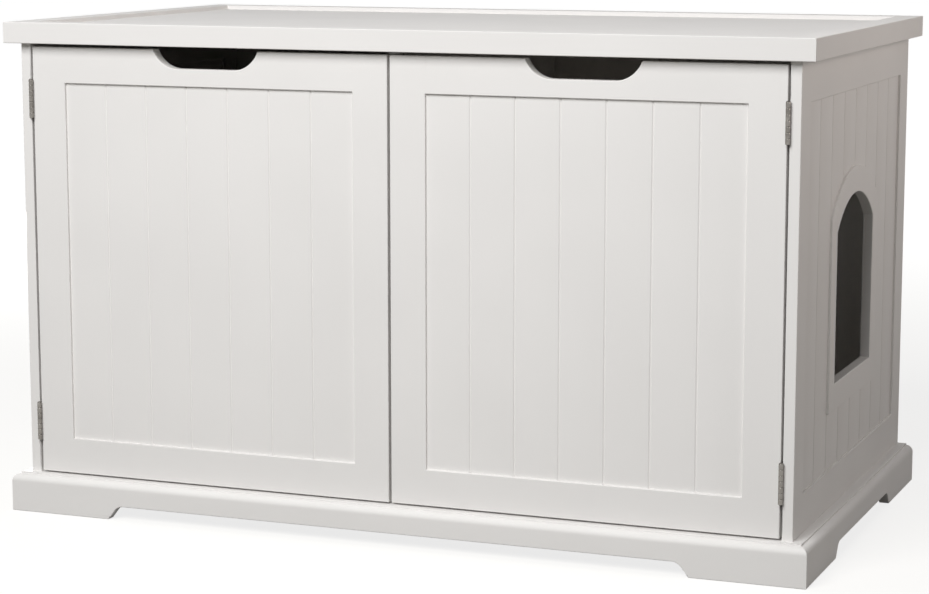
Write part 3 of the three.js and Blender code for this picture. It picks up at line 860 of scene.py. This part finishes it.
head = turned(
    millimetres(
        [
            (0, -1.25),
            (1.2, -1.25),
            (1.35, -1.0),
            (HEAD_RADIUS - 0.06, -0.08),
            (HEAD_RADIUS, -0.01),
            (HEAD_RADIUS - 0.15, 0.04),
            (1.3, 0.08),
            (0, 0.10),
        ]
    )
)
a, h = CROSS_ARM, CROSS_HALF
cross = millimetres(
    [(a, -h), (a, h), (h, h), (h, a), (-h, a), (-h, h)]
    + [(-a, h), (-a, -h), (-h, -h), (-h, -a), (h, -a), (h, -h)]
)
recess = prism(cross, -CROSS_DEEP * MM, MM, 2)
screw_mesh = reshade(carved(to_mesh(head, "head"), to_mesh(recess, "recess")))
screw = bpy.data.objects.new("screw to copy", screw_mesh)
print("screw head:", len(screw_mesh.polygons), "faces")


def facing(place, out):
    """The matrix that stands a turned part up at a place, facing out."""
    return Matrix.Translation(place) @ out.to_track_quat("Z", "Y").to_matrix().to_4x4()


def countersunk(mesh, places, out):
    """A plate with a countersunk hole at each place."""
    hole = millimetres(
        [
            (0, -SHANK_DEEP),
            (SHANK_RADIUS, -SHANK_DEEP),
            (SHANK_RADIUS, -SINK_DEEP),
            (HEAD_RADIUS + SINK_GAP, 0.0),
            (HEAD_RADIUS + SINK_GAP, 1.0),
            (0, 1.0),
        ]
    )
    cutters = []
    for place in places:
        cutter = to_mesh(turned(hole), "countersink")
        cutter.transform(facing(place, out))
        cutters.append(cutter)
    return reshade(carved(mesh, *cutters))


# %% The tree that sets out a row of screws
screws, given = new_tree(
    "Row of screws",
    Count=("Int", 3),
    Start=("Vector", (0.0, 0.0, 0.0)),
    Step=("Vector", (0.0, 0.0, 0.015)),
    Facing=("Vector", (0.0, 0.0, 1.0)),
    Screw=("Object", None),
    Seed=("Int", 1),
    Material=("Material", None),
)
row = add(
    screws,
    "GeometryNodeMeshLine",
    {"Count": given["Count"], "Start Location": given["Start"], "Offset": given["Step"]},
).outputs[0]
# the sockets of Random Value share their names: 3 is the largest Float, 8 is the seed
turn = add(
    screws, "FunctionNodeRandomValue", {3: math.pi, 8: given["Seed"]}, data_type="FLOAT"
).outputs[1]
outwards = add(
    screws, "FunctionNodeAlignRotationToVector", {"Vector": given["Facing"]}, axis="Z"
).outputs[0]
twist = add(
    screws, "FunctionNodeAxisAngleToRotation", {"Axis": (0.0, 0.0, 1.0), "Angle": turn}
).outputs[0]
set_to = add(
    screws,
    "FunctionNodeRotateRotation",
    {"Rotation": outwards, "Rotate By": twist},
    rotation_space="LOCAL",
).outputs[0]
one = add(screws, "GeometryNodeObjectInfo", {"Object": given["Screw"]}).outputs["Geometry"]
many = add(
    screws,
    "GeometryNodeInstanceOnPoints",
    {"Points": row, "Instance": one, "Rotation": set_to},
).outputs[0]
end_tree(screws, many, given["Material"])


def screw_row(name, body, material, places, out):
    """Screws driven in at evenly spaced places, tied to a body."""
    step = places[1] - places[0] if len(places) > 1 else Vector()
    mesh = grown(
        name,
        screws,
        Count=len(places),
        Start=places[0],
        Step=step,
        Facing=out,
        Screw=screw,
        Seed=len(bpy.data.objects),  # so each row has its own
        Material=material,
    )
    return show(name, mesh, body, material)


# %% [markdown]
# ## Butt hinges
#
# Each hinge is two pressed leaves whose ends are rolled into knuckles, four on the cabinet and
# three on the door, with a pin through all seven. When the door is shut, the knuckles are all
# that shows, so they are worth a tree of their own: a rounded rectangle, the wall of the rolled
# sheet, is swept round a circle and set out at every second place.

# %% The knuckles' tree
knuckles, given = new_tree(
    "Hinge knuckles",
    Count=("Int", 4),
    First=("Float", 0.0),
    Spacing=("Float", 0.0125),
    Length=("Float", 0.006),
    Outer_Radius=("Float", 0.0026),
    Bore_Radius=("Float", 0.0015),
    Easing=("Float", 0.0003),
    Material=("Material", None),
)
both = {0: given["Outer Radius"], 1: given["Bore Radius"]}
wall = add(knuckles, MATH, both, operation="SUBTRACT").outputs[0]
across = add(knuckles, MATH, both, operation="ADD").outputs[0]
middle = add(knuckles, MATH, {0: across, 1: 0.5}, operation="MULTIPLY").outputs[0]
sheet = add(
    knuckles, "GeometryNodeCurvePrimitiveQuadrilateral", {"Width": wall, "Height": given["Length"]}
).outputs[0]
sheet = add(
    knuckles,
    "GeometryNodeFilletCurve",
    {"Curve": sheet, "Count": 3, "Radius": given["Easing"], "Limit Radius": True},
    mode="POLY",
).outputs[0]
circle = add(
    knuckles, "GeometryNodeCurvePrimitiveCircle", {"Resolution": 32, "Radius": middle}
).outputs[0]
rolled = add(
    knuckles, "GeometryNodeCurveToMesh", {"Curve": circle, "Profile Curve": sheet}
).outputs[0]
row = add(
    knuckles,
    "GeometryNodeMeshLine",
    {
        "Count": given["Count"],
        "Start Location": add(knuckles, "ShaderNodeCombineXYZ", {"Z": given["First"]}).outputs[0],
        "Offset": add(knuckles, "ShaderNodeCombineXYZ", {"Z": given["Spacing"]}).outputs[0],
    },
).outputs[0]
stacked = add(
    knuckles, "GeometryNodeInstanceOnPoints", {"Points": row, "Instance": rolled}
).outputs[0]
end_tree(knuckles, stacked, given["Material"])

# %% [markdown]
# A leaf is a comb: a flat plate with a finger for each of its knuckles. We draw it in the plane
# of the door's edge, give it three countersunk holes, and join the knuckles to it. The pin has
# a small domed head at the top, which keeps it from falling through.

# %% Leaves and pins
HINGE_X, HINGE_Y = 444.25, -259.75
HINGE_LONG = 44.0
HINGE_FEET = {"lower": 85.0, "upper": 462.0}
KNUCKLES = 7
KNUCKLE_PITCH = HINGE_LONG / KNUCKLES
KNUCKLE_GAP = 0.25
OUTER, BORE = 2.625, 1.5
LEAF_NEAR, LEAF_FAR = 3.0, 16.0  # the plate's edges, behind the pin
FINGER_ROOT = 2.0
LEAF_OFF, LEAF_THICK = 0.25, 1.0
LEAF_EASE = 0.15
SCREW_BACK = 9.8
SCREW_HEIGHTS = (7.0, 22.0, 37.0)
PIN = [
    (0, 0),
    (1.05, 0),
    (1.25, 0.2),
    (1.25, HINGE_LONG),
    (2.1, HINGE_LONG + 0.02),
    (2.25, HINGE_LONG + 0.15),
    (2.25, HINGE_LONG + 0.4),
    (1.95, HINGE_LONG + 0.72),
    (1.2, HINGE_LONG + 0.93),
    (0, HINGE_LONG + 1.0),
]


def comb(first):
    """A leaf's outline in (y, z) from the foot of the pin, with fingers at every second place."""
    points = [(LEAF_FAR, HINGE_LONG), (LEAF_FAR, 0.0)]
    for i in range(KNUCKLES):
        low = i * KNUCKLE_PITCH + (KNUCKLE_GAP / 2 if i else 0)
        high = (i + 1) * KNUCKLE_PITCH - (KNUCKLE_GAP / 2 if i < KNUCKLES - 1 else 0)
        if i % 2 == first:
            points += [(FINGER_ROOT, low), (FINGER_ROOT, high)]
            points += [(LEAF_NEAR, high)] if i < KNUCKLES - 1 else []
        else:
            points += [(LEAF_NEAR, low), (LEAF_NEAR, high)]
    return points


def hinge_leaf(name, foot, toward, first, body):
    """One leaf with its knuckles and screws. The plate lies on the side that toward points to."""
    outline = [(foot.y + y * MM, foot.z + z * MM) for y, z in comb(first)]
    inner, outer = (foot.x + toward * d * MM for d in (LEAF_OFF, LEAF_OFF + LEAF_THICK))
    leaf = to_mesh(plate(outline, min(inner, outer), max(inner, outer), 0, LEAF_EASE * MM), name)
    out = Vector((-toward, 0, 0))
    places = [Vector((inner, foot.y + SCREW_BACK * MM, foot.z + z * MM)) for z in SCREW_HEIGHTS]
    leaf = countersunk(leaf, places, out)
    rolls = grown(
        name,
        knuckles,
        Count=(KNUCKLES + 1 - first) // 2,
        First=(first + 0.5) * KNUCKLE_PITCH * MM,
        Spacing=2 * KNUCKLE_PITCH * MM,
        Length=(KNUCKLE_PITCH - KNUCKLE_GAP) * MM,
        Outer_Radius=OUTER * MM,
        Bore_Radius=BORE * MM,
        Material=polished_nickel,
    )
    rolls.transform(Matrix.Translation(foot))
    whole = joined(name, leaf, reshade(rolls))
    show(f"plated_{name}", whole, body, polished_nickel, [name])
    screw_row(f"screws_{name}", body, polished_nickel, places, out)


for side, sign in (("left", -1), ("right", 1)):
    for level, height in HINGE_FEET.items():
        foot = Vector((sign * HINGE_X, HINGE_Y, height)) * MM
        hinge = f"{side}_{level}_hinge"
        hinge_leaf(f"{hinge}_frame_leaf", foot, sign, 0, "cabinet")
        hinge_leaf(f"{hinge}_door_leaf", foot, -sign, 1, f"{side}_door")
        pin = to_mesh(turned(millimetres(PIN)), f"{hinge}_pin")
        pin.transform(Matrix.Translation(foot))
        name = f"{hinge}_pin"
        show(f"turned_{name}", reshade(pin), body_of[name], polished_nickel, [name])
print("hinges dressed:", 2 * len(HINGE_FEET))

# %% [markdown]
# ## Magnetic catches and strike plates
#
# A magnetic catch is a plastic case with an open mouth. In it a flat ferrite magnet sits
# between two steel pole plates, which stand a millimetre proud and close on the strike plate.
# Each part has its own finish, so each is its own piece. They are made once for the right side
# and mirrored for the left.

# %% Catches
CATCH_X = (6.0, 18.0)
CATCH_Y = (-239.5, -226.5)  # the mouth and the rear of the case
CATCH_Z = (497.5, 537.5)
EAR_LONG = 8.0
EAR_THICK = 2.0
CASE_EASE = 0.6
MOUTH_WALL = 1.3
MOUTH_ENDS = 3.0
MOUTH_DEEP = 6.0
POLE_THICK = 1.5
POLE_PROUD = 1.0
POLE_GAP = 0.1
POLE_SHORT = 0.3  # how much shorter than the mouth at each end
POLE_EASE = 0.2
MAGNET_BACK = 0.2
MAGNET_EASE = 0.3
PAST = 2.0  # how far a cutter starts in front of the case
EAR_SCREW_Y = -232.5


def rectangle(a, b):
    """The corners of a rectangle from its low and high values, in millimetres."""
    return millimetres([(a[0], b[0]), (a[1], b[0]), (a[1], b[1]), (a[0], b[1])])


(x0, x1), (y0, y1), (z0, z1) = CATCH_X, CATCH_Y, CATCH_Z
ear = x0 + EAR_THICK
hat = [(x0, z0 - EAR_LONG), (ear, z0 - EAR_LONG), (ear, z0), (x1, z0)]
hat += [(x1, z1), (ear, z1), (ear, z1 + EAR_LONG), (x0, z1 + EAR_LONG)]
case = to_mesh(plate(millimetres(hat), y0 * MM, y1 * MM, 1, CASE_EASE * MM), "case")
inside = (x0 + MOUTH_WALL, x1 - MOUTH_WALL)
tall = (z0 + MOUTH_ENDS, z1 - MOUTH_ENDS)
mouth = prism(rectangle(inside, tall), (y0 - PAST) * MM, (y0 + MOUTH_DEEP) * MM, 1)
case = carved(case, to_mesh(mouth, "mouth"))
ear_screws = [
    Vector((ear, EAR_SCREW_Y, z)) * MM for z in (z0 - EAR_LONG / 2, z1 + EAR_LONG / 2)
]
case = countersunk(case, ear_screws, Vector((1, 0, 0)))

poles = []
for start in (inside[0] + POLE_GAP, inside[1] - POLE_GAP - POLE_THICK):
    sides = rectangle(
        (start, start + POLE_THICK), (tall[0] + POLE_SHORT, tall[1] - POLE_SHORT)
    )
    pole = plate(sides, (y0 - POLE_PROUD) * MM, (y0 + MOUTH_DEEP) * MM, 1, POLE_EASE * MM)
    poles.append(to_mesh(pole, "pole"))
core = (inside[0] + 2 * POLE_GAP + POLE_THICK, inside[1] - 2 * POLE_GAP - POLE_THICK)
magnet = plate(
    rectangle(core, (tall[0] + 2 * POLE_SHORT, tall[1] - 2 * POLE_SHORT)),
    (y0 + MAGNET_BACK) * MM,
    (y0 + MOUTH_DEEP) * MM,
    1,
    MAGNET_EASE * MM,
)
catch_parts = {
    "case": (case, moulded_abs, "catch_plastic"),
    "pole_plates": (joined("poles", *poles), zinc_plate, "zinc_plate"),
    "magnet": (to_mesh(magnet, "magnet"), ferrite, "catch_plastic"),
}
for side, sign in (("left", -1), ("right", 1)):
    for part, (mesh, material, slot) in catch_parts.items():
        replaced = [f"{side}_catch"] if part == "case" else []
        show(f"{side}_catch_{part}", mirrored(mesh, sign), "cabinet", material, replaced)
    places = [Vector((sign * p.x, p.y, p.z)) for p in ear_screws]
    out = Vector((sign, 0, 0))
    screw_row(f"screws_{side}_catch", "cabinet", zinc_plate, places, out)
print("catch parts:", list(catch_parts))

# %% Strike plates
STRIKE_Y = (-242.0, -240.75)
STRIKE_EASE = 0.25
CORNER = 2.0
outline = []
for x, z, across, along in (
    (x0, z0, 1, 1), (x1, z0, -1, 1), (x1, z1, -1, -1), (x0, z1, 1, -1)
):
    cut = [(x, z + along * CORNER), (x + across * CORNER, z)]
    outline += cut if across * along > 0 else cut[::-1]
strike = plate(millimetres(outline), STRIKE_Y[0] * MM, STRIKE_Y[1] * MM, 1, STRIKE_EASE * MM)
centre = Vector(((x0 + x1) / 2, STRIKE_Y[1], (z0 + z1) / 2)) * MM
inwards = Vector((0, 1, 0))
strike = countersunk(to_mesh(strike, "strike"), [centre], inwards)
for side, sign in (("left", -1), ("right", 1)):
    name = f"{side}_strike_plate"
    show(f"zinc_{name}", mirrored(strike, sign), f"{side}_door", zinc_plate, [name])
    place = Vector((sign * centre.x, centre.y, centre.z))
    screw_row(f"screw_{name}", f"{side}_door", zinc_plate, [place], inwards)
print("strike plate:", len(strike.polygons), "faces")

# %% [markdown]
# ## The back panel and its nails
#
# The back is thin hardboard with a white inner face: two materials on one board, picked by
# which way each face looks. It drops into a rabbet and is held by small flat-headed nails, one
# about every eleven centimetres, driven just under the surface.
#
# The nails follow a path, the panel's border, so a tree lays them out: a rectangle curve is
# resampled to the spacing, and a nail head is put on every point of it. The same tree sets out
# the dents that the nails leave in the board, and one Boolean cuts them.

# %% The nail tree
nails, given = new_tree(
    "Nails along a border",
    Width=("Float", 0.9),
    Height=("Float", 0.5),
    Spacing=("Float", 0.11),
    Nail=("Object", None),
    Material=("Material", None),
)
border = add(
    nails,
    "GeometryNodeCurvePrimitiveQuadrilateral",
    {"Width": given["Width"], "Height": given["Height"]},
).outputs[0]
dots = add(
    nails,
    "GeometryNodeResampleCurve",
    {"Curve": border, "Length": given["Spacing"]},
    mode="LENGTH",
).outputs[0]
one = add(nails, "GeometryNodeObjectInfo", {"Object": given["Nail"]}).outputs["Geometry"]
many = add(nails, "GeometryNodeInstanceOnPoints", {"Points": dots, "Instance": one}).outputs[0]
end_tree(nails, many, given["Material"])

# %% Back panel and nails
NAIL = [(0, -1.5), (0.7, -1.5), (0.7, -0.9), (1.9, -0.9), (2.05, -0.6), (1.8, -0.3), (0, -0.2)]
DENT = [(0, -1.2), (2.05, -1.2), (2.3, 0.0), (2.3, 1.0), (0, 1.0)]
NAIL_INSET = 3.0
NAIL_SIDES = 16
low, high = boxes["back_panel"]
rear_face = Matrix.Translation(Vector(((low.x + high.x) / 2, high.y, (low.z + high.z) / 2)))
rear_face = rear_face @ Matrix.Rotation(-math.pi / 2, 4, "X")


def along_border(name, outline):
    """A turned shape repeated round the back panel."""
    shape = reshade(to_mesh(turned(millimetres(outline), NAIL_SIDES), name))
    mesh = grown(
        name,
        nails,
        Width=high.x - low.x - 2 * NAIL_INSET * MM,
        Height=high.z - low.z - 2 * NAIL_INSET * MM,
        Nail=bpy.data.objects.new(name, shape),
        Material=zinc_plate,
    )
    mesh.transform(rear_face)
    return mesh, len(mesh.polygons) // len(shape.polygons)


dents, _ = along_border("dent", DENT)
mesh = reshade(carved(eased("back_panel", MELAMINE_EASE, 2), dents))
mesh.materials.clear()
mesh.materials.append(hardboard)
mesh.materials.append(melamine)
for face in mesh.polygons:
    face.material_index = int(face.normal.y < -0.5)
show("hardboard_back_panel", mesh, "cabinet", None, ["back_panel"])

mesh, count = along_border("nail", NAIL)
show("nails_back_panel", mesh, "cabinet", zinc_plate)
print("nails:", count)

# %% [markdown]
# ## Studio
#
# A pale floor and a pale world stand in for the photographer's paper sweep. The white
# background must not light the cabinet, or every shadow would wash out. *Light Path* tells the
# rays apart: those that go straight to the camera, or there by way of a mirror-like or clear
# surface, see white, and the rays that carry light between surfaces see a dim grey.


# %% World
def seen_directly(tree):
    """1 for rays that show the surroundings, 0 for rays that light a surface."""
    path = add(tree, "ShaderNodeLightPath").outputs
    seen = path["Is Camera Ray"]
    for other in ("Is Glossy Ray", "Is Transmission Ray"):
        seen = add(tree, MATH, {0: seen, 1: path[other]}, operation="MAXIMUM").outputs[0]
    return seen


WHITE = (1.0, 1.0, 1.0, 1.0)
WORLD_LEVEL = 0.15
world = bpy.data.worlds.new("paper sweep")
world.use_nodes = True
tree = world.node_tree
tree.nodes.clear()
level = add(
    tree,
    "ShaderNodeMapRange",
    {"Value": seen_directly(tree), "To Min": WORLD_LEVEL, "To Max": 1.0},
).outputs[0]
sky = add(tree, "ShaderNodeBackground", {"Color": WHITE, "Strength": level})
add(tree, "ShaderNodeOutputWorld", {"Surface": sky.outputs[0]})
bpy.context.scene.world = world
print("the world lights the cabinet at", WORLD_LEVEL)

# %% [markdown]
# The floor is matt paper with a glow that only direct rays see. The glow is weaker round the
# cabinet, where its shadow falls, and grows to white further out, so that the paper has no
# edge. *Map Range* turns the distance from the middle into that glow.

# %% Floor
FLOOR_HALF = 30.0
GLOW_NEAR, GLOW_FAR = 0.80, 0.97
NEAR, FAR = 0.8, 3.0  # metres from the middle of the floor
paper = bpy.data.materials.new("matt white paper")
paper.use_nodes = True
tree = paper.node_tree
tree.nodes.clear()
matt = add(tree, "ShaderNodeBsdfDiffuse", {"Color": srgb("86847F")})
place = add(tree, "ShaderNodeTexCoord").outputs["Object"]
away = add(tree, "ShaderNodeVectorMath", {0: place}, operation="LENGTH").outputs["Value"]
level = add(
    tree,
    "ShaderNodeMapRange",
    {"Value": away, "From Min": NEAR, "From Max": FAR, "To Min": GLOW_NEAR, "To Max": GLOW_FAR},
    interpolation_type="SMOOTHSTEP",
).outputs[0]
strength = add(tree, MATH, {0: seen_directly(tree), 1: level}, operation="MULTIPLY").outputs[0]
glow = add(tree, "ShaderNodeEmission", {"Color": WHITE, "Strength": strength})
both = add(tree, "ShaderNodeAddShader", {0: matt.outputs[0], 1: glow.outputs[0]})
add(tree, "ShaderNodeOutputMaterial", {"Surface": both.outputs[0]})

floor_mesh = bpy.data.meshes.new("floor")
corners = [(-1, -1), (1, -1), (1, 1), (-1, 1)]
places = [(x * FLOOR_HALF, y * FLOOR_HALF, 0.0) for x, y in corners]
floor_mesh.from_pydata(places, [], [(0, 1, 2, 3)])
floor_mesh.materials.append(paper)
floor = bpy.data.objects.new("floor", floor_mesh)
bpy.context.scene.collection.objects.link(floor)
print("floor:", 2 * FLOOR_HALF, "m across")

# %% [markdown]
# ## Lamps
#
# The key hangs high and almost in front, so that the doors are bright and even and the sunk top
# is a little darker. The fill at the right is faint and warm. Its narrow spread, like a grid on
# a softbox, aims it above the cabinet, so the side is brightest at the top. The rear lamp is low,
# behind the left corner, and its top is level with the cabinet's, so it hardly touches what the
# photograph shows and lights the back and left side for anyone who walks round.


# %% Lamps
LAMP_CENTRE = 0.3  # the height that a lamp's place is measured from


def lamp(name, azimuth, elevation, distance, size, watts, colour="FFFFFF", aim=0.3, spread=180):
    """A square soft lamp that faces the cabinet's axis at the height called aim."""
    light = bpy.data.lights.new(name, "AREA")
    light.shape = "SQUARE"
    light.size = size
    light.energy = watts
    light.color = srgb(colour)[:3]
    light.spread = math.radians(spread)
    holder = bpy.data.objects.new(name, light)
    holder.location = Vector((0, 0, LAMP_CENTRE)) + direction(azimuth, elevation) * distance
    sight = Vector((0, 0, aim)) - holder.location
    holder.rotation_euler = sight.to_track_quat("-Z", "Y").to_euler()
    bpy.context.scene.collection.objects.link(holder)


lamp("key", azimuth=-4.5, elevation=37.5, distance=2.92, size=1.6, watts=75.5)
lamp(
    "fill", azimuth=92, elevation=22, distance=2.1, size=1.0, watts=3.35, colour="FFF2EA",
    aim=1.08, spread=92,
)
lamp("rear", azimuth=-140, elevation=0.4, distance=3.0, size=0.5, watts=36)
